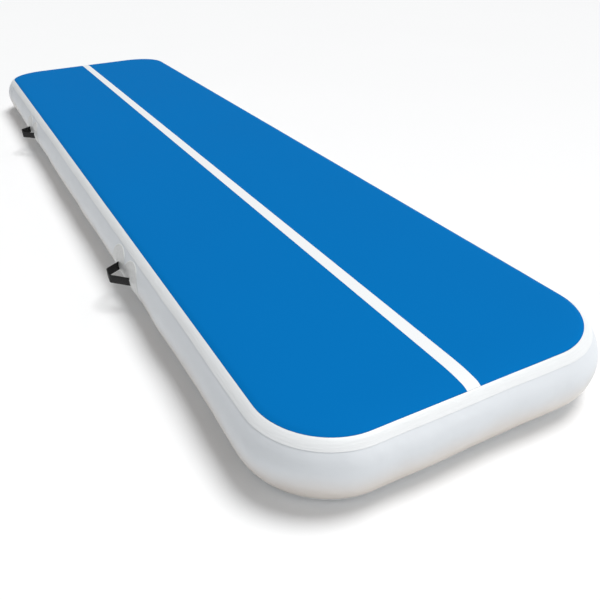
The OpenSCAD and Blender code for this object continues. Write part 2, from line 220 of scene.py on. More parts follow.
def welded_tape_pvc(c):
    """Glossy PVC tape, hot-air welded under tension: bright, with fine creases along its length."""
    mat, t, bsdf = new_material("welded_tape_pvc")
    along = add(t, "ShaderNodeAttribute", attribute_name="along_m")
    across = add(t, "ShaderNodeAttribute", attribute_name="across_m")
    skin = add(t, "ShaderNodeCombineXYZ", {"X": along.outputs["Fac"], "Y": across.outputs["Fac"]})
    # Creases 60 mm long and 4 mm apart
    stretch = add(t, "ShaderNodeVectorMath", {0: skin.outputs[0], 1: (1 / 0.06, 1 / 0.004, 1)},
                  operation="MULTIPLY")
    crease = add(t, "ShaderNodeTexNoise", {"Vector": stretch.outputs[0], "Scale": 1.0, "Detail": 3.0,
                                           "Roughness": 0.55})
    swell = add(t, "ShaderNodeTexNoise", {"Vector": skin.outputs[0], "Scale": 1 / 0.05, "Detail": 1.0})
    both = add(t, "ShaderNodeMath", {0: swell.outputs[0], 1: 1.4, 2: crease.outputs[0]},
               operation="MULTIPLY_ADD")
    bump = add(t, "ShaderNodeBump", {"Strength": 0.6, "Distance": 0.0012, "Height": both.outputs[0]})
    t.links.new(bump.outputs[0], bsdf.inputs["Normal"])
    # Painted shade: the tape is darker in the hollows of its creases
    tone = add(t, "ShaderNodeMix", {"Factor": crease.outputs[0], "A": rgba(c.tape, 0.90), "B": rgba(c.tape)},
               data_type="RGBA")
    t.links.new(tone.outputs["Result"], bsdf.inputs["Base Color"])
    bsdf.inputs["Roughness"].default_value = 0.34
    bsdf.inputs["IOR"].default_value = 1.53
    bsdf.inputs["Specular IOR Level"].default_value = 0.4
    return mat


def inflated_wall_pvc(c, height):
    """Satin coated PVC under pressure: broad soft highlights, faint ripples, painted shade towards the floor.
    """
    mat, t, bsdf = new_material("inflated_wall_pvc")
    where = add(t, "ShaderNodeTexCoord").outputs["Object"]
    z = add(t, "ShaderNodeSeparateXYZ", {0: where}).outputs["Z"]
    # The edge of the painted shade low on the wall wanders by a few centimetres
    wander = add(t, "ShaderNodeTexNoise", {"Vector": where, "Scale": 4.0, "Detail": 3.0})
    level = add(t, "ShaderNodeMath", {0: wander.outputs[0], 1: -0.07, 2: z}, operation="MULTIPLY_ADD")
    # Painted shade: full at the floor, gone by about half the wall's height
    low = add(t, "ShaderNodeMapRange", {0: level.outputs[0], 1: 0.01, 2: height * 0.48, 3: 1.0, 4: 0.0},
              interpolation_type="SMOOTHSTEP")
    tone = add(t, "ShaderNodeMix", {"Factor": low.outputs[0], "A": rgba(c.wall), "B": rgba(c.wall_low_painted_shade)},
               data_type="RGBA")
    t.links.new(tone.outputs["Result"], bsdf.inputs["Base Color"])
    # Ripples of the skin, 90 mm long, and the scrim's 1 mm print, drawn at 2.5 mm
    ripple = add(t, "ShaderNodeTexNoise", {"Vector": where, "Scale": 1 / 0.09, "Detail": 2.0})
    scrim = add(t, "ShaderNodeTexNoise", {"Vector": where, "Scale": 1 / 0.0025, "Detail": 1.0})
    rough_skin = add(t, "ShaderNodeBump", {"Strength": 0.6, "Distance": 0.007, "Height": ripple.outputs[0]})
    fine_skin = add(t, "ShaderNodeBump", {"Strength": 0.12, "Distance": 0.0002, "Height": scrim.outputs[0],
                                          "Normal": rough_skin.outputs[0]})
    t.links.new(fine_skin.outputs[0], bsdf.inputs["Normal"])
    gloss = add(t, "ShaderNodeMapRange", {0: wander.outputs[0], 3: 0.36, 4: 0.48})
    t.links.new(gloss.outputs[0], bsdf.inputs["Roughness"])
    bsdf.inputs["IOR"].default_value = 1.52
    return mat


def patch_pvc(c):
    """Soft PVC patch welded by hand: satin, slightly warm, with small crinkles from the heat."""
    mat, t, bsdf = new_material("patch_pvc")
    where = add(t, "ShaderNodeTexCoord").outputs["Object"]
    # Crinkles about 12 mm across
    crinkle = add(t, "ShaderNodeTexNoise",
                  {"Vector": where, "Scale": 1 / 0.012, "Detail": 4.0, "Distortion": 0.6})
    bump = add(t, "ShaderNodeBump", {"Strength": 0.5, "Distance": 0.0012, "Height": crinkle.outputs[0]})
    t.links.new(bump.outputs[0], bsdf.inputs["Normal"])
    # Painted shade and highlight: darker in the crinkles' hollows, lighter on their crests
    tone = add(t, "ShaderNodeMix",
               {"Factor": crinkle.outputs[0], "A": rgba(c.patch, 0.86), "B": rgba(c.patch, 1.04)},
               data_type="RGBA")
    t.links.new(tone.outputs["Result"], bsdf.inputs["Base Color"])
    bsdf.inputs["Roughness"].default_value = 0.4
    bsdf.inputs["IOR"].default_value = 1.52
    return mat


def underside_pvc(c):
    """Matt anti-slip PVC: dull, with a coarse dimple."""
    mat, t, bsdf = new_material("underside_pvc")
    where = add(t, "ShaderNodeTexCoord").outputs["Object"]
    # Dimples 4 mm apart, and scuffs a third of a metre across
    dimple = add(t, "ShaderNodeTexVoronoi", {"Vector": where, "Scale": 1 / 0.004})
    bump = add(t, "ShaderNodeBump", {"Strength": 0.5, "Distance": 0.0005, "Height": dimple.outputs["Distance"]})
    t.links.new(bump.outputs[0], bsdf.inputs["Normal"])
    scuff = add(t, "ShaderNodeTexNoise", {"Vector": where, "Scale": 3.0, "Detail": 4.0})
    tone = add(t, "ShaderNodeMix",
               {"Factor": scuff.outputs[0], "A": rgba(c.base, 0.9), "B": rgba(c.base, 1.08)},
               data_type="RGBA")
    t.links.new(tone.outputs["Result"], bsdf.inputs["Base Color"])
    bsdf.inputs["Roughness"].default_value = 0.72
    return mat


def woven_polyester(c):
    """Grey-white polyester base cloth: matt plain weave with a faint sheen off the yarns."""
    mat, t, bsdf = new_material("woven_polyester")
    where = add(t, "ShaderNodeTexCoord").outputs["Object"]
    # Yarns 1 mm apart, drawn at 12.6 mm: a wave texture's band is pi / 10 of one over its scale
    warp = add(t, "ShaderNodeTexWave", {"Vector": where, "Scale": 1 / 0.04}, bands_direction="X")
    weft = add(t, "ShaderNodeTexWave", {"Vector": where, "Scale": 1 / 0.04}, bands_direction="Y")
    weave = add(t, "ShaderNodeMath", {0: warp.outputs["Fac"], 1: weft.outputs["Fac"]}, operation="MULTIPLY")
    bump = add(t, "ShaderNodeBump", {"Strength": 0.5, "Distance": 0.0004, "Height": weave.outputs[0]})
    t.links.new(bump.outputs[0], bsdf.inputs["Normal"])
    # Painted shade: darker in the hollows between the yarns
    tone = add(t, "ShaderNodeMix", {"Factor": weave.outputs[0], "A": rgba(c.cloth, 0.78), "B": rgba(c.cloth)},
               data_type="RGBA")
    t.links.new(tone.outputs["Result"], bsdf.inputs["Base Color"])
    bsdf.inputs["Roughness"].default_value = 0.85
    bsdf.inputs["Sheen Weight"].default_value = 0.2
    return mat


def nylon_webbing(c):
    """Black woven nylon strap: dull, ribbed across its width, with paler shine where the yarns turn over."""
    mat, t, bsdf = new_material("nylon_webbing")
    along = add(t, "ShaderNodeAttribute", attribute_name="along_m")
    across = add(t, "ShaderNodeAttribute", attribute_name="across_m")
    # Ribs lean one way and then the other over each 7.5 mm of the width, like a herringbone. A wave texture's
    # band is pi / 10 of one over its scale, so ribs 1.6 mm apart are drawn at 10 mm and yarns 1.2 mm apart at
    # 15 mm
    lean = add(t, "ShaderNodeMath", {0: across.outputs["Fac"], 1: 0.0075}, operation="PINGPONG")
    skew = add(t, "ShaderNodeMath", {0: along.outputs["Fac"], 1: lean.outputs[0]}, operation="ADD")
    band = add(t, "ShaderNodeCombineXYZ", {"X": skew.outputs[0], "Y": across.outputs["Fac"]})
    rib = add(t, "ShaderNodeTexWave", {"Vector": band.outputs[0], "Scale": 1 / 0.032}, bands_direction="X")
    yarn = add(t, "ShaderNodeTexWave", {"Vector": band.outputs[0], "Scale": 1 / 0.048}, bands_direction="Y")
    weave = add(t, "ShaderNodeMath", {0: yarn.outputs["Fac"], 1: 0.6, 2: rib.outputs["Fac"]},
                operation="MULTIPLY_ADD")
    bump = add(t, "ShaderNodeBump", {"Strength": 0.8, "Distance": 0.0006, "Height": weave.outputs[0]})
    t.links.new(bump.outputs[0], bsdf.inputs["Normal"])
    # Painted shine and shade: paler on the ribs' crests, darker between them
    tone = add(t, "ShaderNodeMix",
               {"Factor": rib.outputs["Fac"], "A": rgba(c.webbing, 0.45), "B": rgba(c.webbing, 1.7)},
               data_type="RGBA")
    t.links.new(tone.outputs["Result"], bsdf.inputs["Base Color"])
    bsdf.inputs["Roughness"].default_value = 0.62
    bsdf.inputs["Sheen Weight"].default_value = 0.05
    bsdf.inputs["Specular IOR Level"].default_value = 0.3
    return mat


def moulded_plastic(name, tint, roughness):
    """Injection-moulded nylon, PVC or TPU: satin, with a faint spark-eroded grain and slightly uneven gloss."""
    mat, t, bsdf = new_material(name)
    where = add(t, "ShaderNodeTexCoord").outputs["Object"]
    # Mould grain of 0.3 mm, drawn at 0.6 mm
    grain = add(t, "ShaderNodeTexNoise", {"Vector": where, "Scale": 1 / 0.0006, "Detail": 2.0})
    bump = add(t, "ShaderNodeBump", {"Strength": 0.3, "Distance": 0.00008, "Height": grain.outputs[0]})
    t.links.new(bump.outputs[0], bsdf.inputs["Normal"])
    # Flow marks of the melt, 20 mm across
    flow = add(t, "ShaderNodeTexNoise", {"Vector": where, "Scale": 1 / 0.02, "Detail": 2.0})
    tone = add(t, "ShaderNodeMix", {"Factor": flow.outputs[0], "A": rgba(tint, 0.92), "B": rgba(tint, 1.06)},
               data_type="RGBA")
    t.links.new(tone.outputs["Result"], bsdf.inputs["Base Color"])
    gloss = add(t, "ShaderNodeMapRange", {0: flow.outputs[0], 3: roughness - 0.05, 4: roughness + 0.07})
    t.links.new(gloss.outputs[0], bsdf.inputs["Roughness"])
    bsdf.inputs["IOR"].default_value = 1.53
    return mat


def moulded_rubber(c):
    """Nitrile rubber seal: near black, dull, with a fine bloom."""
    mat, t, bsdf = new_material("moulded_rubber")
    where = add(t, "ShaderNodeTexCoord").outputs["Object"]
    # Patches of bloom 6 mm across
    bloom = add(t, "ShaderNodeTexNoise", {"Vector": where, "Scale": 1 / 0.006, "Detail": 4.0})
    tone = add(t, "ShaderNodeMix",
               {"Factor": bloom.outputs[0], "A": rgba(c.rubber, 0.8), "B": rgba(c.rubber, 1.5)},
               data_type="RGBA")
    t.links.new(tone.outputs["Result"], bsdf.inputs["Base Color"])
    bump = add(t, "ShaderNodeBump", {"Strength": 0.2, "Distance": 0.0001, "Height": bloom.outputs[0]})
    t.links.new(bump.outputs[0], bsdf.inputs["Normal"])
    bsdf.inputs["Roughness"].default_value = 0.75
    bsdf.inputs["IOR"].default_value = 1.52
    return mat


def drawn_stainless_wire(c):
    """Drawn stainless spring wire: bright metal with faint draw lines."""
    mat, t, bsdf = new_material("drawn_stainless_wire")
    where = add(t, "ShaderNodeTexCoord").outputs["Object"]
    # Fine draw lines, drawn at 0.4 mm so that they show
    lines = add(t, "ShaderNodeTexNoise", {"Vector": where, "Scale": 1 / 0.0004, "Detail": 2.0})
    gloss = add(t, "ShaderNodeMapRange", {0: lines.outputs[0], 3: 0.22, 4: 0.38})
    t.links.new(gloss.outputs[0], bsdf.inputs["Roughness"])
    bump = add(t, "ShaderNodeBump", {"Strength": 0.2, "Distance": 0.00005, "Height": lines.outputs[0]})
    t.links.new(bump.outputs[0], bsdf.inputs["Normal"])
    bsdf.inputs["Base Color"].default_value = rgba(c.wire)
    bsdf.inputs["Metallic"].default_value = 1.0
    return mat


def studio_floor(c):
    """Matt white cyclorama floor."""
    mat, t, bsdf = new_material("studio_floor")
    where = add(t, "ShaderNodeTexCoord").outputs["Object"]
    # Barely seen change of tone over a metre or so
    cloud = add(t, "ShaderNodeTexNoise", {"Vector": where, "Scale": 0.8, "Detail": 2.0})
    tone = add(t, "ShaderNodeMix", {"Factor": cloud.outputs[0], "A": rgba(c.floor, 0.985), "B": rgba(c.floor)},
               data_type="RGBA")
    t.links.new(tone.outputs["Result"], bsdf.inputs["Base Color"])
    bsdf.inputs["Roughness"].default_value = 0.95
    bsdf.inputs["Specular IOR Level"].default_value = 0.05
    return mat


def material(name, make, *values):
    """Makes a material the first time that a piece needs it."""
    return bpy.data.materials.get(name) or make(*values)


def dress(node, mat):
    """Gives a CAD node that keeps its shape its finished material."""
    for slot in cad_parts[node].material_slots:
        slot.material = mat


def clamped(value):
    return min(max(value, 0.0), 1.0)


def smooth(value):
    """0 to 1, easing in and out."""
    share = clamped(value)
    return share * share * (3 - 2 * share)


class Section:
    """The mat's section: sizes that every part of the skin shares. Distances are out from the corner centre."""

    def __init__(self, s):
        self.s = s
        self.mid = s.mat_height / 2
        self.shoulder_z = s.mat_height - s.shoulder_radius
        sine, cosine = math.sin(s.seam_angle), math.cos(s.seam_angle)
        self.tape_radius = (self.mid - s.shoulder_radius + s.shoulder_radius * sine) / sine
        self.wall_radius = self.tape_radius - s.bond_gap - s.tape_thickness
        self.wall_centre = s.corner_radius - self.wall_radius
        self.shoulder_centre = self.wall_centre + (self.tape_radius - s.shoulder_radius) * cosine
        self.half_w = s.mat_width / 2 - s.corner_radius
        self.half_l = s.mat_length / 2 - s.corner_radius
        self.deck_edge = self.shoulder_centre + s.shoulder_radius * math.cos(s.deck_angle)

    def shoulder(self, angle, depth=0.0):
        r = self.s.shoulder_radius - depth
        return self.shoulder_centre + r * math.cos(angle), self.shoulder_z + r * math.sin(angle)

    def wall(self, angle, offset=0.0):
        r = self.wall_radius + offset
        return self.wall_centre + r * math.cos(angle), self.mid + r * math.sin(angle)

    def roll(self, out, z, end):
        """How far the skin rolls down at a point: more at the ends than the sides, none on the lower wall."""
        depth = self.s.side_roll + (self.s.end_roll - self.s.side_roll) * end
        start = self.deck_edge - self.s.roll_width
        grow = clamped((out - start) / self.s.roll_width) ** 3
        return depth * grow * smooth((z / self.mid - ROLL_FOOT) / (ROLL_HEAD - ROLL_FOOT))


def link(name, mesh, mat=None):
    piece = bpy.data.objects.new(name, mesh)
    bpy.context.scene.collection.objects.link(piece)
    if mat:
        piece.data.materials.append(mat)
    return piece


def baked(piece):
    """Turns a piece with its modifiers into a plain mesh at the origin."""
    graph = bpy.context.evaluated_depsgraph_get()
    mesh = bpy.data.meshes.new_from_object(piece.evaluated_get(graph))
    name, source = piece.name, piece.data
    bpy.data.objects.remove(piece)
    if not source.users:
        bpy.data.meshes.remove(source)
    mesh.name = name
    return link(name, mesh)


def shade(piece, degrees=35):
    for face in piece.data.polygons:
        face.use_smooth = True
    piece.data.set_sharp_from_angle(angle=math.radians(degrees))
    return piece


def profile_mesh(name, loop):
    """A closed section as a mesh of edges: X is out from the widest part of the wall, Y is down from the
    floor's level."""
    mesh = bpy.data.meshes.new(name)
    count = len(loop)
    mesh.from_pydata([(x, -z, 0) for x, z in loop], [(k, (k + 1) % count) for k in range(count)], [])
    across = mesh.attributes.new("across_m", "FLOAT", "POINT")
    run = 0.0
    for k, (x, z) in enumerate(loop):
        if k:
            run += math.dist((x, z), loop[k - 1])
        across.data[k].value = run
    return mesh


def new_tree(name, inputs, output):
    """An empty Geometry Nodes tree with its inputs, given by name and kind, and its one output."""
    tree = bpy.data.node_groups.new(name, "GeometryNodeTree")
    for label, kind in inputs.items():
        tree.interface.new_socket(label, in_out="INPUT", socket_type=f"NodeSocket{kind}")
    tree.interface.new_socket(output, in_out="OUTPUT", socket_type="NodeSocketGeometry")
    return tree, add(tree, "NodeGroupInput").outputs


def skin_tree(name):
    """Sweeps a section round the plan of the mat, rolls its rim down and gives the wall its slow swells."""
    floats = ["Width", "Length", "Corner radius", "Step", "From", "To", "End roll", "Side roll", "Roll width",
              "Deck edge", "Wave height", "Wave size", "Middle height"]
    t, given = new_tree(name, {"Section": "Geometry", **dict.fromkeys(floats, "Float"),
                               "Part of the way": "Bool", "Material": "Material"}, "Skin")

    # The plan, with its corners rounded, and the distance run along it
    plan = add(t, "GeometryNodeCurvePrimitiveQuadrilateral",
               {"Width": given["Width"], "Height": given["Length"]})
    rounded = add(t, "GeometryNodeFilletCurve", {"Curve": plan.outputs[0], "Count": 64,
                                                 "Radius": given["Corner radius"]}, mode="POLY")
    part = add(t, "GeometryNodeTrimCurve", {0: rounded.outputs[0], 4: given["From"], 5: given["To"]},
               mode="LENGTH")
    chosen = add(t, "GeometryNodeSwitch", {"Switch": given["Part of the way"], "False": rounded.outputs[0],
                                           "True": part.outputs[0]}, input_type="GEOMETRY")
    path = add(t, "GeometryNodeResampleCurve", {"Curve": chosen.outputs[0], "Length": given["Step"]},
               mode="LENGTH")
    # Counted up to halfway round and back down again, so that it meets itself where the path closes
    run = add(t, "GeometryNodeSplineParameter").outputs["Length"]
    halfway = add(t, "ShaderNodeMath", {0: add(t, "GeometryNodeSplineLength").outputs["Length"], 1: 0.5},
                  operation="MULTIPLY")
    there_and_back = add(t, "ShaderNodeMath", {0: run, 1: halfway.outputs[0]}, operation="PINGPONG")
    marked = add(t, "GeometryNodeStoreNamedAttribute",
                 {"Geometry": path.outputs[0], "Name": "along_m", "Value": there_and_back.outputs[0]},
                 data_type="FLOAT")
    upright = add(t, "GeometryNodeSetCurveNormal", {"Curve": marked.outputs[0]}, mode="Z_UP")
    section = add(t, "GeometryNodeMeshToCurve", {"Mesh": given["Section"]})
    swept = add(t, "GeometryNodeCurveToMesh", {"Curve": upright.outputs[0], "Profile Curve": section.outputs[0],
                                               "Fill Caps": given["Part of the way"]})

    # Distance and direction out from the rectangle of the corner centres
    size = add(t, "ShaderNodeCombineXYZ", {"X": given["Width"], "Y": given["Length"]})
    half = add(t, "ShaderNodeVectorMath", {0: size.outputs[0], "Scale": 0.5}, operation="SCALE")
    inset = add(t, "ShaderNodeCombineXYZ", {"X": given["Corner radius"], "Y": given["Corner radius"]})
    high = add(t, "ShaderNodeVectorMath", {0: half.outputs[0], 1: inset.outputs[0]}, operation="SUBTRACT")
    low = add(t, "ShaderNodeVectorMath", {0: high.outputs[0], "Scale": -1.0}, operation="SCALE")
    place = add(t, "GeometryNodeInputPosition").outputs[0]
    under = add(t, "ShaderNodeVectorMath", {0: place, 1: high.outputs[0]}, operation="MINIMUM")
    centre = add(t, "ShaderNodeVectorMath", {0: under.outputs[0], 1: low.outputs[0]}, operation="MAXIMUM")
    away = add(t, "ShaderNodeVectorMath", {0: place, 1: centre.outputs[0]}, operation="SUBTRACT")
    level = add(t, "ShaderNodeVectorMath", {0: away.outputs[0], 1: (1, 1, 0)}, operation="MULTIPLY")
    out = add(t, "ShaderNodeVectorMath", {0: level.outputs[0]}, operation="LENGTH").outputs["Value"]
    facing = add(t, "ShaderNodeVectorMath", {0: level.outputs[0]}, operation="NORMALIZE").outputs[0]
    facing_y = add(t, "ShaderNodeSeparateXYZ", {0: facing}).outputs["Y"]
    end = add(t, "ShaderNodeMath", {0: facing_y, 1: facing_y}, operation="MULTIPLY").outputs[0]
    z = add(t, "ShaderNodeSeparateXYZ", {0: place}).outputs["Z"]

    # Roll of the rim: deeper at the ends, gone by the middle of the wall
    depth = add(t, "ShaderNodeMapRange", {0: end, 3: given["Side roll"], 4: given["End roll"]}).outputs[0]
    start = add(t, "ShaderNodeMath", {0: given["Deck edge"], 1: given["Roll width"]}, operation="SUBTRACT")
    rise = add(t, "ShaderNodeMapRange", {0: out, 1: start.outputs[0], 2: given["Deck edge"]}).outputs[0]
    grow = add(t, "ShaderNodeMath", {0: rise, 1: 3.0}, operation="POWER").outputs[0]
    foot = add(t, "ShaderNodeMath", {0: given["Middle height"], 1: ROLL_FOOT}, operation="MULTIPLY").outputs[0]
    head = add(t, "ShaderNodeMath", {0: given["Middle height"], 1: ROLL_HEAD}, operation="MULTIPLY").outputs[0]
    fade = add(t, "ShaderNodeMapRange", {0: z, 1: foot, 2: head}, interpolation_type="SMOOTHSTEP").outputs[0]
    rolled = add(t, "ShaderNodeMath", {0: depth, 1: grow}, operation="MULTIPLY").outputs[0]
    drop = add(t, "ShaderNodeMath", {0: rolled, 1: fade}, operation="MULTIPLY").outputs[0]
    down = add(t, "ShaderNodeCombineXYZ", {"Z": drop}).outputs[0]

    # Swells, full at mid height and small at the seams. Noise of 0.3 is the full swell inward, 0.7 outward
    per_metre = add(t, "ShaderNodeMath", {0: 1.0, 1: given["Wave size"]}, operation="DIVIDE").outputs[0]
    swell = add(t, "ShaderNodeTexNoise",
                {"Vector": place, "Scale": per_metre, "Detail": 2.0, "Roughness": 0.45})
    from_mid = add(t, "ShaderNodeMath", {0: z, 1: given["Middle height"]}, operation="SUBTRACT").outputs[0]
    height = add(t, "ShaderNodeMath", {0: from_mid}, operation="ABSOLUTE").outputs[0]
    belly = add(t, "ShaderNodeMapRange", {0: height, 1: SWELL_FULL, 2: SWELL_LOW, 3: 1.0, 4: SEAM_SWELL},
                interpolation_type="SMOOTHSTEP").outputs[0]
    signed = add(t, "ShaderNodeMapRange", {0: swell.outputs[0], 1: 0.3, 2: 0.7, 3: -1.0, 4: 1.0}, clamp=False)
    tall = add(t, "ShaderNodeMath", {0: signed.outputs[0], 1: given["Wave height"]}, operation="MULTIPLY")
    wave = add(t, "ShaderNodeMath", {0: tall.outputs[0], 1: belly}, operation="MULTIPLY")
    push = add(t, "ShaderNodeVectorMath", {0: facing, "Scale": wave.outputs[0]}, operation="SCALE")
    offset = add(t, "ShaderNodeVectorMath", {0: push.outputs[0], 1: down}, operation="SUBTRACT")
    moved = add(t, "GeometryNodeSetPosition", {"Geometry": swept.outputs[0], "Offset": offset.outputs[0]})
    real = add(t, "GeometryNodeRealizeInstances", {"Geometry": moved.outputs[0]})
    done = add(t, "GeometryNodeSetMaterial", {"Geometry": real.outputs[0], "Material": given["Material"]})
    add(t, "NodeGroupOutput", {0: done.outputs[0]})
    return t


def band_tree(name):
    """Sweeps woven webbing, with its round selvedges, along a path."""
    t, given = new_tree(name, {"Path": "Geometry", "Width": "Float", "Thickness": "Float", "Step": "Float",
                               "Material": "Material"}, "Band")
    curve = add(t, "GeometryNodeMeshToCurve", {"Mesh": given["Path"]})
    path = add(t, "GeometryNodeResampleCurve", {"Curve": curve.outputs[0], "Length": given["Step"]},
               mode="LENGTH")
    marked = add(t, "GeometryNodeStoreNamedAttribute",
                 {"Geometry": path.outputs[0], "Name": "along_m",
                  "Value": add(t, "GeometryNodeSplineParameter").outputs["Length"]}, data_type="FLOAT")
    upright = add(t, "GeometryNodeSetCurveNormal", {"Curve": marked.outputs[0]}, mode="Z_UP")
    outline = add(t, "GeometryNodeCurvePrimitiveQuadrilateral",
                  {"Width": given["Thickness"], "Height": given["Width"]})
    edge = add(t, "ShaderNodeMath", {0: given["Thickness"], 1: 0.42}, operation="MULTIPLY").outputs[0]
    soft = add(t, "GeometryNodeFilletCurve", {"Curve": outline.outputs[0], "Count": 3, "Radius": edge},
               mode="POLY")
    fine = add(t, "GeometryNodeSubdivideCurve", {"Curve": soft.outputs[0], "Cuts": 1})
    side = add(t, "ShaderNodeSeparateXYZ", {0: add(t, "GeometryNodeInputPosition").outputs[0]}).outputs["Y"]
    edged = add(t, "GeometryNodeStoreNamedAttribute",
                {"Geometry": fine.outputs[0], "Name": "across_m", "Value": side},
                data_type="FLOAT")
    swept = add(t, "GeometryNodeCurveToMesh", {"Curve": upright.outputs[0], "Profile Curve": edged.outputs[0],
                                               "Fill Caps": True})
    real = add(t, "GeometryNodeRealizeInstances", {"Geometry": swept.outputs[0]})
    done = add(t, "GeometryNodeSetMaterial", {"Geometry": real.outputs[0], "Material": given["Material"]})
    add(t, "NodeGroupOutput", {0: done.outputs[0]})
    return t


def ring_tree(name):
    """Repeats one small mesh round the valve's axis."""
    t, given = new_tree(name, {"Rib": "Geometry", "Count": "Int", "Radius": "Float", "Centre": "Vector",
                               "Material": "Material"}, "Ribs")
    circle = add(t, "GeometryNodeMeshCircle", {"Vertices": given["Count"], "Radius": given["Radius"]})
    place = add(t, "GeometryNodeInputPosition").outputs[0]
    turn = add(t, "FunctionNodeAlignRotationToVector", {"Vector": place}, axis="X")
    copies = add(t, "GeometryNodeInstanceOnPoints", {"Points": circle.outputs[0], "Instance": given["Rib"],
                                                     "Rotation": turn.outputs[0]})
    put = add(t, "GeometryNodeTransform", {"Geometry": copies.outputs[0], "Translation": given["Centre"],
                                           "Rotation": (0, math.pi / 2, 0)})
    real = add(t, "GeometryNodeRealizeInstances", {"Geometry": put.outputs[0]})
    done = add(t, "GeometryNodeSetMaterial", {"Geometry": real.outputs[0], "Material": given["Material"]})
    add(t, "NodeGroupOutput", {0: done.outputs[0]})
    return t


def grown(name, mesh, tree_name, make_tree, **values):
    """Runs a tree on a mesh, its inputs set by socket identifier, and returns the plain mesh that it makes."""
    piece = link(name, mesh)
    modifier = piece.modifiers.new("Grow", "NODES")
    modifier.node_group = bpy.data.node_groups.get(tree_name) or make_tree(tree_name)
    sockets = {item.name: item.identifier for item in modifier.node_group.interface.items_tree
               if item.item_type == "SOCKET" and item.in_out == "INPUT"}
    for key, value in values.items():
        modifier[sockets[key.replace("_", " ")]] = value
    return baked(piece)


def outward(piece):
    """Turns a closed piece's faces outwards if its volume comes out negative."""
    bm = bmesh.new()
    bm.from_mesh(piece.data)
    if bm.calc_volume(signed=True) < 0:
        bmesh.ops.reverse_faces(bm, faces=bm.faces[:])
        bm.to_mesh(piece.data)
    bm.free()
    return piece


def swept_skin(name, loop, mat, s, span=None):
    """A closed section swept round the mat, or along part of the way."""
    g = Section(s)
    start, stop = span or (0.0, 1.0)
    piece = grown(name, profile_mesh(name, loop), "Skin round the mat", skin_tree, Width=s.mat_width,
                  Length=s.mat_length, Corner_radius=s.corner_radius, Step=s.path_step, From=start, To=stop,
                  End_roll=s.end_roll, Side_roll=s.side_roll, Roll_width=s.roll_width, Deck_edge=g.deck_edge,
                  Wave_height=s.wave_height, Wave_size=s.wave_size, Middle_height=g.mid,
                  Part_of_the_way=span is not None, Material=mat)
    return shade(outward(piece))


def plan_path(g, x_from, x_to, step):
    """Points of the rectangle of corner centres, with the way that the skin faces there: near end, left side,
    far end and right side, limited to a range of X. None marks the gap where the left side is left out."""
    def spread(a, b):
        n = max(1, round(abs(b - a) / step))
        return [a + (b - a) * k / n for k in range(n + 1)]

    xs = spread(max(x_from, -g.half_w), min(x_to, g.half_w))
    ys = spread(-g.half_l, g.half_l)
    corner_faces = 22
    turns = [math.pi / 2 * k / corner_faces for k in range(corner_faces + 1)]
    left, right = x_from < -g.half_w, x_to > g.half_w
    run = [((x, -g.half_l), (0.0, -1.0)) for x in reversed(xs)]
    if left:
        run += [((-g.half_w, -g.half_l), (-math.sin(a), -math.cos(a))) for a in turns]
        run += [((-g.half_w, y), (-1.0, 0.0)) for y in ys]
        run += [((-g.half_w, g.half_l), (-math.cos(a), math.sin(a))) for a in turns]
    else:
        run.append(None)
    run += [((x, g.half_l), (0.0, 1.0)) for x in xs]
    if right:
        run += [((g.half_w, g.half_l), (math.sin(a), math.cos(a))) for a in turns]
        run += [((g.half_w, y), (1.0, 0.0)) for y in reversed(ys)]
        run += [((g.half_w, -g.half_l), (math.cos(a), -math.sin(a))) for a in turns]
    return xs, ys, run


def rolled_sheet(name, s, x_from, x_to, mat, thickness, depth=0.0, last=None, upside_down=False):
    """A sheet for a range of X that lies level over the core and rolls over the shoulder as far as the angle
    last. depth is how far its outer face lies under the deck's."""
    g = Section(s)
    last = s.deck_angle if last is None else last
    top = s.mat_height - depth
    bands = 8
    rim = [(k / bands * g.shoulder_centre, top) for k in range(bands + 1)]
    rim += [g.shoulder(math.pi / 2 + (last - math.pi / 2) * k / bands, depth) for k in range(1, bands + 1)]
    xs, ys, run = plan_path(g, x_from, x_to, s.path_step)
    bm = bmesh.new()
    found = {}

    def vert(x, y, z):
        if upside_down:
            z = s.mat_height - z
        key = (round(x, 6), round(y, 6), round(z, 6))
        if key not in found:
            found[key] = bm.verts.new((x, y, z))
        return found[key]

    def face(*corners):
        kept = [v for k, v in enumerate(corners) if v is not corners[k - 1]]
        if len(kept) > 2:
            bm.faces.new(kept if not upside_down else reversed(kept))

    for i in range(len(xs) - 1):
        for j in range(len(ys) - 1):
            face(vert(xs[i], ys[j], top), vert(xs[i + 1], ys[j], top), vert(xs[i + 1], ys[j + 1], top),
                 vert(xs[i], ys[j + 1], top))

    def at(sample, r, z):
        (cx, cy), (nx, ny) = sample
        lower = 0.0 if upside_down else g.roll(r, z, ny * ny)
        return vert(cx + nx * r, cy + ny * r, z - lower)

    whole = x_from < -g.half_w and x_to > g.half_w
    for k in range(len(run) - (0 if whole else 1)):
        a, b = run[k], run[(k + 1) % len(run)]
        if a is None or b is None:
            continue
        for (r0, z0), (r1, z1) in zip(rim, rim[1:]):
            face(at(a, r0, z0), at(b, r0, z0), at(b, r1, z1), at(a, r1, z1))
    bmesh.ops.recalc_face_normals(bm, faces=bm.faces[:])
    facing_up = sum(f.normal.z * f.calc_area() for f in bm.faces) > 0
    if facing_up == upside_down:
        bmesh.ops.reverse_faces(bm, faces=bm.faces[:])
    mesh = bpy.data.meshes.new(name)
    bm.to_mesh(mesh)
    bm.free()
    piece = link(name, mesh, mat)
    shell = piece.modifiers.new("Thickness", "SOLIDIFY")
    shell.thickness, shell.offset, shell.use_even_offset = thickness, -1.0, True
    return shade(baked(piece))


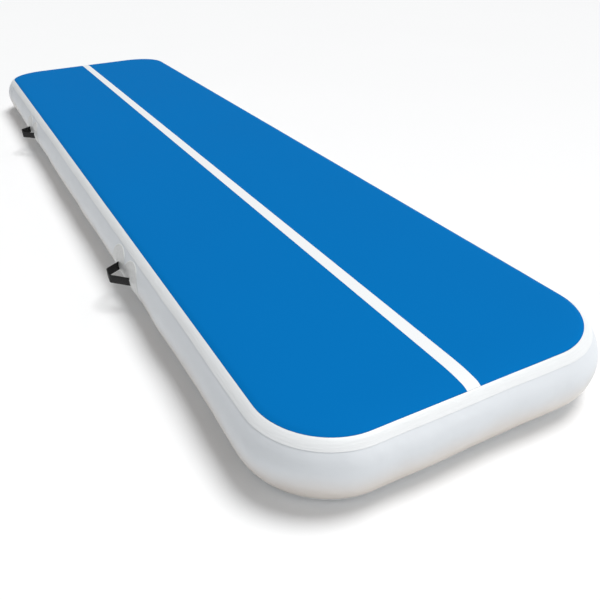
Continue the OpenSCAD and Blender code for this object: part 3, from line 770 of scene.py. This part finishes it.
class AIRTRACK_OT_deck(bpy.types.Operator):
    """Deck panels, centre line, underside and the cloth under the deck"""
    bl_idname = "airtrack.deck"
    bl_label = "Deck and underside"

    def execute(self, context):
        s, c = context.scene.airtrack_sizes, context.scene.airtrack_colours
        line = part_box("centre_line")[1].x
        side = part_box("deck_right")[0].x
        blue = material("coated_deck_pvc", coated_deck_pvc, c)
        white = material("line_pvc", line_pvc, c)
        # Past either side of the mat, for a panel that runs to the rim
        far = s.mat_width
        panels = [("deck_panel_left", -far, -side, blue, "deck_left"),
                  ("deck_panel_right", side, far, blue, "deck_right"),
                  ("centre_stripe", -line, line, white, "centre_line")]
        for name, a, b, mat, node in panels:
            piece = rolled_sheet(name, s, a, b, mat, s.deck_thickness)
            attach(piece, "mat")
            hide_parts(node)
        floor_side = rolled_sheet("floor_panel", s, -far, far, material("underside_pvc", underside_pvc, c),
                                  s.deck_thickness, upside_down=True)
        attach(floor_side, "mat")
        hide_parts("bottom_panel")
        cloth = material("woven_polyester", woven_polyester, c)
        under = rolled_sheet("deck_cloth", s, -far, far, cloth, s.cloth_thickness,
                             depth=s.deck_thickness + s.bond_gap,
                             last=s.seam_angle + s.bond_gap / s.shoulder_radius)
        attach(under, "mat")
        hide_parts("top_cloth")
        dress("bottom_cloth", cloth)
        dress("core_threads", cloth)
        return {"FINISHED"}


def joined(name, pieces):
    """One plain mesh from several, with the first one's materials."""
    bm = bmesh.new()
    for piece in pieces:
        bm.from_mesh(piece.data)
    mesh = bpy.data.meshes.new(name)
    bm.to_mesh(mesh)
    bm.free()
    for mat in pieces[0].data.materials:
        mesh.materials.append(mat)
    for piece in pieces:
        bpy.data.objects.remove(piece)
    return link(name, mesh)


class AIRTRACK_OT_wall(bpy.types.Operator):
    """Side wall all round, with the hole for the valve, and the strips over its two joints"""
    bl_idname = "airtrack.wall"
    bl_label = "Side wall"

    def execute(self, context):
        s, c = context.scene.airtrack_sizes, context.scene.airtrack_colours
        g = Section(s)
        mat = material("inflated_wall_pvc", inflated_wall_pvc, c, s.mat_height)
        top = s.seam_angle - s.bond_gap / g.wall_radius
        angles = [top - 2 * top * k / 30 for k in range(31)]
        outer = [g.wall(a) for a in angles]
        inner = [g.wall(a, -s.wall_thickness) for a in reversed(angles)]
        loop = [(r - s.corner_radius, z) for r, z in outer + inner]
        wall = swept_skin("side_wall", loop, mat, s)

        # Hole for the valve's neck, which the washer overlaps by washer_seat all round
        body_low, body_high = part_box("valve_body")
        washer_low, washer_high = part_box("valve_washer")
        washer_seat = 0.0065
        neck = (washer_high.z - washer_low.z) / 2 - washer_seat
        cutter = bpy.data.meshes.new("valve_hole")
        bm = bmesh.new()
        middle = (body_low + body_high) / 2
        turn = Matrix.Translation((middle.x, middle.y, g.mid)) @ Matrix.Rotation(math.pi / 2, 4, "Y")
        bmesh.ops.create_cone(bm, cap_ends=True, segments=64, radius1=neck, radius2=neck, depth=0.12,
                              matrix=turn)
        bm.to_mesh(cutter)
        bm.free()
        drill = link("valve_hole", cutter)
        cut = wall.modifiers.new("Valve hole", "BOOLEAN")
        cut.object, cut.operation, cut.solver = drill, "DIFFERENCE", "EXACT"
        wall = shade(baked(wall))
        bpy.data.objects.remove(drill)
        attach(wall, "mat")
        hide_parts("wall_strip_near", "wall_strip_far")

        # Lap strips: past the far left corner on one side, past the near right corner on the other
        corner = math.pi / 2 * s.corner_radius
        left = 2 * corner + 2 * g.half_w + s.lap_width / 2
        right = 4 * corner + 4 * g.half_w + 2 * g.half_l + s.lap_width / 2
        low = s.seam_angle - (s.tape_lap + s.bond_gap) / g.tape_radius
        angles = [low - 2 * low * k / 24 for k in range(25)]
        outer = [g.wall(a, s.bond_gap + s.tape_thickness) for a in angles]
        inner = [g.wall(a, -s.bond_gap) for a in reversed(angles)]
        loop = [(r - s.corner_radius, z) for r, z in outer + inner]
        strips = [swept_skin("lap", loop, mat, s, span=(d, d + s.lap_width)) for d in (left, right)]
        laps = joined("wall_lap_strips", strips)
        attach(laps, "mat")
        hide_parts("wall_laps")
        return {"FINISHED"}


class AIRTRACK_OT_tapes(bpy.types.Operator):
    """Edge tapes welded over the shoulder, above and below"""
    bl_idname = "airtrack.tapes"
    bl_label = "Edge tapes"

    def execute(self, context):
        s, c = context.scene.airtrack_sizes, context.scene.airtrack_colours
        g = Section(s)
        mat = material("welded_tape_pvc", welded_tape_pvc, c)
        start = s.deck_angle - s.bond_gap / s.shoulder_radius
        stop = s.seam_angle - s.tape_lap / g.tape_radius
        lift = s.bond_gap + s.tape_thickness
        over = [start + (s.seam_angle - start) * k / 8 for k in range(9)]
        down = [s.seam_angle + (stop - s.seam_angle) * k / 4 for k in range(1, 5)]
        outer = [g.shoulder(a) for a in over] + [g.wall(a, lift) for a in down]
        inner = [g.wall(a, s.bond_gap) for a in reversed(down)]
        inner += [g.shoulder(a, s.tape_thickness) for a in reversed(over)]
        # The tape's edge on the deck is pressed thin by the welding wheel
        outer[0] = ((outer[0][0] + inner[-1][0]) / 2, (outer[0][1] + inner[-1][1]) / 2)
        upper = [(r - s.corner_radius, z) for r, z in outer + inner]
        lower = [(r, s.mat_height - z) for r, z in reversed(upper)]
        for name, loop, node in (("edge_tape_upper", upper, "edge_tape_top"),
                                 ("edge_tape_lower", lower, "edge_tape_bottom")):
            tape = swept_skin(name, loop, mat, s)
            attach(tape, "mat")
            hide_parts(node)
        return {"FINISHED"}


def handle_place(number):
    """Side of the mat and place along it of a handle, from its strap in the frame."""
    low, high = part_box(f"handle_{number}_strap")
    return (-1 if low.x < 0 else 1), (low.y + high.y) / 2, (low.z + high.z) / 2


def rounded_path(points, radii, steps=7):
    """A path through points with its corners rounded."""
    path = [points[0]]
    for k in range(1, len(points) - 1):
        p, a, b = Vector(points[k]), Vector(points[k - 1]), Vector(points[k + 1])
        u, v = (a - p).normalized(), (b - p).normalized()
        half = u.angle(v) / 2
        back = min(radii[k - 1] / math.tan(half), (a - p).length * 0.49, (b - p).length * 0.49)
        for j in range(steps + 1):
            f = j / steps
            path.append(tuple((1 - f) ** 2 * (p + u * back) + 2 * f * (1 - f) * p + f * f * (p + v * back)))
    path.append(points[-1])
    return path


def root_patches(name, s, g, tree, side, middle, mat, seed):
    """Two hand-cut round patches welded over the webbing's roots, one lapped over the other, beaded round the
    rim and creased where the webbing pulls at them."""
    rng = random.Random(seed)
    radius = s.patch_diameter / 2
    rings, spokes = 36, 140
    sunk, probe = 0.002, 0.03
    tail_rise, lip_rise, lip_width = 0.0016, 0.0022, 0.012
    bead_rise, bead_width, bead_inset = 0.0010, 0.0022, 0.004
    edge_round, edge_height = 0.0008, 0.35
    bm = bmesh.new()
    centres = [middle - s.handle_span / 2, middle + s.handle_span / 2]

    def on_wall(y, arc, lift):
        """The point lift above the wall as it really lies, at a place along it and a distance up it."""
        angle = arc / g.wall_radius
        out = Vector((side * math.cos(angle), 0, math.sin(angle)))
        nominal = Vector((side * (g.half_w + g.wall_centre), y, g.mid)) + out * g.wall_radius
        hit = tree.ray_cast(nominal + out * probe, -out)[0]
        return (hit or nominal) + out * lift

    for which, y0 in enumerate(centres):
        # Nine creases fan out from the slit: angle, width as an angle, reach and height
        creases = []
        for k in range(9):
            angle = 2 * math.pi * (k + 0.5 * rng.random()) / 9
            creases.append((angle, rng.uniform(0.08, 0.16), rng.uniform(0.030, 0.064),
                            s.pucker_height * rng.uniform(0.5, 1.25)))
        outward_sign = -1 if which == 0 else 1
        turns = [rng.uniform(0, 2 * math.pi) for k in range(3)]

        def rim(theta):
            # Cut by eye: up to 3 mm short of the round here and there
            swing = sum(math.sin((k + 2) * theta + turns[k]) for k in range(3)) / 3
            return radius - 0.0015 * (1 + swing)

        def height(rho, theta):
            y, arc = rho * math.cos(theta), rho * math.sin(theta)
            h = s.patch_thickness
            # The webbing's tail shows through as a soft step, from 6 mm before the root to 52 mm past it
            past = y * outward_sign
            tail = clamped((past + 0.006) / 0.012) * clamped((0.052 - past) / 0.01)
            tail *= clamped((s.webbing_width / 2 + 0.004 - abs(arc)) / 0.006)
            h += tail_rise * smooth(tail)
            for angle, wide, reach, tall in creases:
                turn = (theta - angle + math.pi) % (2 * math.pi) - math.pi
                along = clamped(rho / 0.008) * clamped(1 - rho / reach)
                h += tall * along * math.exp(-(turn / wide) ** 2)
            # The lip that the webbing lifts as it comes out, and the bead that the weld pushes up near the rim
            h += lip_rise * math.exp(-(rho / lip_width) ** 2)
            h += bead_rise * math.exp(-((rim(theta) - bead_inset - rho) / bead_width) ** 2)
            if which == 1:
                # Lies over the first patch's edge
                other = math.hypot(y0 + y - centres[0], arc)
                h += s.patch_thickness * clamped((radius + 0.001 - other) / 0.003)
            return h

        # Shares of the way out, the last ring close to the rim so that the edge is rounded over
        shares = [(k + 1) / (rings - 1) for k in range(rings - 2)] + [1 - edge_round / radius, 1.0]
        hub = bm.verts.new(on_wall(y0, 0, height(0, 0)))
        base_hub = bm.verts.new(on_wall(y0, 0, -sunk))
        tops, bases = [], []
        for j, share in enumerate(shares):
            up, low = [], []
            for i in range(spokes):
                theta = 2 * math.pi * i / spokes
                rho = share * rim(theta)
                y, arc = y0 + rho * math.cos(theta), rho * math.sin(theta)
                lift = height(rho, theta) * (edge_height if j == rings - 1 else 1.0)
                up.append(bm.verts.new(on_wall(y, arc, lift)))
                low.append(bm.verts.new(on_wall(y, arc, -sunk)))
            tops.append(up)
            bases.append(low)
        for i in range(spokes):
            n = (i + 1) % spokes
            bm.faces.new((hub, tops[0][i], tops[0][n]))
            bm.faces.new((base_hub, bases[0][n], bases[0][i]))
            for j in range(rings - 1):
                bm.faces.new((tops[j][i], tops[j + 1][i], tops[j + 1][n], tops[j][n]))
                bm.faces.new((bases[j][i], bases[j][n], bases[j + 1][n], bases[j + 1][i]))
            bm.faces.new((tops[-1][i], bases[-1][i], bases[-1][n], tops[-1][n]))
    bmesh.ops.recalc_face_normals(bm, faces=bm.faces[:])
    mesh = bpy.data.meshes.new(name)
    bm.to_mesh(mesh)
    bm.free()
    return shade(outward(link(name, mesh, mat)), 60)


class AIRTRACK_OT_handles(bpy.types.Operator):
    """Four webbing handles with the patches welded over their roots"""
    bl_idname = "airtrack.handles"
    bl_label = "Handles"

    def execute(self, context):
        s, c = context.scene.airtrack_sizes, context.scene.airtrack_colours
        g = Section(s)
        webbing = material("nylon_webbing", nylon_webbing, c)
        patch = material("patch_pvc", patch_pvc, c)
        tree = BVHTree.FromObject(bpy.data.objects["side_wall"], context.evaluated_depsgraph_get())
        face = s.mat_width / 2
        for number in range(1, 5):
            side, middle, z = handle_place(number)
            # Distance out from the wall and along it: each tail dives under its patch
            under, root = -s.webbing_thickness * 1.4, s.handle_span / 2
            reach = s.handle_reach - s.webbing_thickness / 2
            near, far = s.handle_skew - s.grip_length / 2, s.handle_skew + s.grip_length / 2
            plan = [(under, -root - s.tail_length), (under, -root), (reach, near), (reach - s.grip_lean, far),
                    (under, root), (under, root + s.tail_length)]
            corners = [s.root_bend, s.grip_bend, s.grip_bend, s.root_bend]
            path = rounded_path([(side * (face + out), middle + along, z) for out, along in plan], corners)
            mesh = bpy.data.meshes.new("path")
            mesh.from_pydata(path, [(k, k + 1) for k in range(len(path) - 1)], [])
            band = shade(outward(grown(f"handle_{number}_band", mesh, "Webbing along a path", band_tree,
                                       Width=s.webbing_width, Thickness=s.webbing_thickness,
                                       Step=0.0025, Material=webbing)))
            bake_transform(band)
            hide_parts(f"handle_{number}_ends", f"handle_{number}_strap")
            patches = root_patches(f"handle_{number}_root_patches", s, g, tree, side, middle, patch, number)
            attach(patches, "mat")
            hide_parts(f"handle_{number}_patches")
        return {"FINISHED"}


class AIRTRACK_OT_valve(bpy.types.Operator):
    """Finish of the valve, its cap and its tether, with the grip ribs round the cap"""
    bl_idname = "airtrack.valve"
    bl_label = "Air valve"

    def execute(self, context):
        s, c = context.scene.airtrack_sizes, context.scene.airtrack_colours
        housing = material("valve_housing_nylon", moulded_plastic, "valve_housing_nylon", c.housing, 0.42)
        flange = material("valve_flange_pvc", moulded_plastic, "valve_flange_pvc", c.tape, 0.38)
        poppet = material("valve_poppet_nylon", moulded_plastic, "valve_poppet_nylon", c.poppet, 0.4)
        cap = material("valve_cap_tpu", moulded_plastic, "valve_cap_tpu", c.cap, 0.5)
        rubber = material("moulded_rubber", moulded_rubber, c)
        for node, mat in (("valve_base", flange), ("valve_body", housing), ("valve_nut", housing),
                          ("valve_washer", rubber), ("valve_poppet", poppet), ("poppet_seal", rubber),
                          ("valve_spring", material("drawn_stainless_wire", drawn_stainless_wire, c)),
                          ("cap_tether", cap), ("valve_cap", cap), ("cap_seal", rubber)):
            dress(node, mat)
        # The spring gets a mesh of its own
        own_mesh(bpy.data.objects["valve_spring"])

        # A small rounded rib, repeated round the cap's rim and let into it a little
        rib_size, rib_rounding, rib_bite, rib_inset = (0.0016, 0.0022, 0.0026), 0.0004, 0.0002, 0.0015
        cap_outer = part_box("valve_cap")[1]
        body_low, body_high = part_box("valve_body")
        middle = (body_low + body_high) / 2
        bm = bmesh.new()
        bmesh.ops.create_cube(bm, size=1, matrix=Matrix.Diagonal((*rib_size, 1)))
        bmesh.ops.bevel(bm, geom=bm.edges[:], offset=rib_rounding, segments=1, affect="EDGES")
        rib = bpy.data.meshes.new("rib")
        bm.to_mesh(rib)
        bm.free()
        ribs = grown("cap_grip_ribs", rib, "Ribs round an axis", ring_tree, Count=s.rib_count,
                     Radius=cap_outer.z - middle.z - rib_bite,
                     Centre=(cap_outer.x - rib_inset, middle.y, middle.z), Material=cap)
        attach(shade(ribs), "cap")
        return {"FINISHED"}


class AIRTRACK_OT_stage(bpy.types.Operator):
    """Pale floor, soft studio light and the camera"""
    bl_idname = "airtrack.stage"
    bl_label = "Studio"

    def execute(self, context):
        c = context.scene.airtrack_colours
        scene = context.scene
        # The floor lies half a millimetre under the mat
        mesh = bpy.data.meshes.new("studio_floor")
        reach, level = 30, -0.0005
        mesh.from_pydata([(-reach, -reach, level), (reach, -reach, level), (reach, reach, level),
                          (-reach, reach, level)], [], [(0, 1, 2, 3)])
        floor = link("studio_floor", mesh, material("studio_floor", studio_floor, c))

        world = bpy.data.worlds.new("studio")
        world.use_nodes = True
        sky = world.node_tree
        sky.nodes.clear()
        # Dim fill light on the mat, and a pale backdrop behind it
        fill = add(sky, "ShaderNodeBackground", {"Color": (0.97, 0.985, 1.0, 1), "Strength": 0.30})
        backdrop = add(sky, "ShaderNodeBackground", {"Color": (0.96, 0.965, 0.97, 1), "Strength": 1.0})
        seen = add(sky, "ShaderNodeLightPath").outputs["Is Camera Ray"]
        both = add(sky, "ShaderNodeMixShader", {0: seen, 1: fill.outputs[0], 2: backdrop.outputs[0]})
        add(sky, "ShaderNodeOutputWorld", {"Surface": both.outputs[0]})
        scene.world = world
        scene.view_settings.view_transform = "Standard"

        key = bpy.data.lights.new("key", "SUN")
        key.energy, key.angle = 2.35, math.radians(30)
        lamp = bpy.data.objects.new("key", key)
        lamp.rotation_euler = Vector((0.52, 0.06, 1.30)).to_track_quat("Z", "Y").to_euler()
        scene.collection.objects.link(lamp)

        # A broad light in front of the near end, and a weaker one on the left side
        for name, place, towards, wide, watts in (("front", (1.2, -5.6, 1.5), (0.1, -1.9, 0.1), 3.5, 42),
                                                  ("left", (-5.0, -0.6, 2.2), (-0.5, -0.4, 0.1), 3.0, 16)):
            light = bpy.data.lights.new(name, "AREA")
            light.shape, light.size, light.size_y, light.energy = "RECTANGLE", wide, wide / 2, watts
            soft = bpy.data.objects.new(name, light)
            soft.location = place
            soft.rotation_euler = (Vector(place) - Vector(towards)).to_track_quat("Z", "Y").to_euler()
            scene.collection.objects.link(soft)

        # The camera looks along the mat from the near left corner, above the deck
        aim = Vector((-0.174, -1.445, 0.2))
        distance, azimuth, elevation, roll = 1.886, math.radians(-27.3), math.radians(31.6), math.radians(-1.6)
        back = Vector((math.cos(elevation) * math.sin(azimuth), -math.cos(elevation) * math.cos(azimuth),
                       math.sin(elevation)))
        across = Vector((math.cos(azimuth), math.sin(azimuth), 0))
        right = math.cos(roll) * across + math.sin(roll) * back.cross(across)
        up = back.cross(right)
        camera = bpy.data.cameras.new("camera")
        camera.lens, camera.sensor_width = 40.35, 36
        view = bpy.data.objects.new("camera", camera)
        turn = Matrix((right, up, back)).transposed().to_4x4()
        view.matrix_world = Matrix.Translation(aim + distance * back) @ turn
        scene.collection.objects.link(view)
        scene.camera = view
        return {"FINISHED"}


class AIRTRACK_PT_panel(bpy.types.Panel):
    """Builds each group of pieces"""
    bl_idname = "AIRTRACK_PT_panel"
    bl_label = "Air track mat"
    bl_space_type = "VIEW_3D"
    bl_region_type = "UI"
    bl_category = "Air track"

    def draw(self, context):
        for operator in OPERATORS:
            self.layout.operator(operator.bl_idname)
        for group in (context.scene.airtrack_sizes, context.scene.airtrack_colours):
            box = self.layout.box()
            for key in group.bl_rna.properties.keys():
                if key not in ("rna_type", "name"):
                    box.prop(group, key)


OPERATORS = (AIRTRACK_OT_deck, AIRTRACK_OT_wall, AIRTRACK_OT_tapes, AIRTRACK_OT_handles, AIRTRACK_OT_valve,
             AIRTRACK_OT_stage)
CLASSES = (AIRTRACK_PG_sizes, AIRTRACK_PG_colours) + OPERATORS + (AIRTRACK_PT_panel,)


def register():
    for cls in CLASSES:
        bpy.utils.register_class(cls)
    bpy.types.Scene.airtrack_sizes = PointerProperty(type=AIRTRACK_PG_sizes)
    bpy.types.Scene.airtrack_colours = PointerProperty(type=AIRTRACK_PG_colours)


def unregister():
    del bpy.types.Scene.airtrack_colours
    del bpy.types.Scene.airtrack_sizes
    for cls in reversed(CLASSES):
        bpy.utils.unregister_class(cls)


def main():
    register()
    bpy.ops.airtrack.stage()
    bpy.ops.airtrack.deck()
    bpy.ops.airtrack.wall()
    bpy.ops.airtrack.tapes()
    bpy.ops.airtrack.handles()
    bpy.ops.airtrack.valve()


if __name__ == "__main__":
    main()
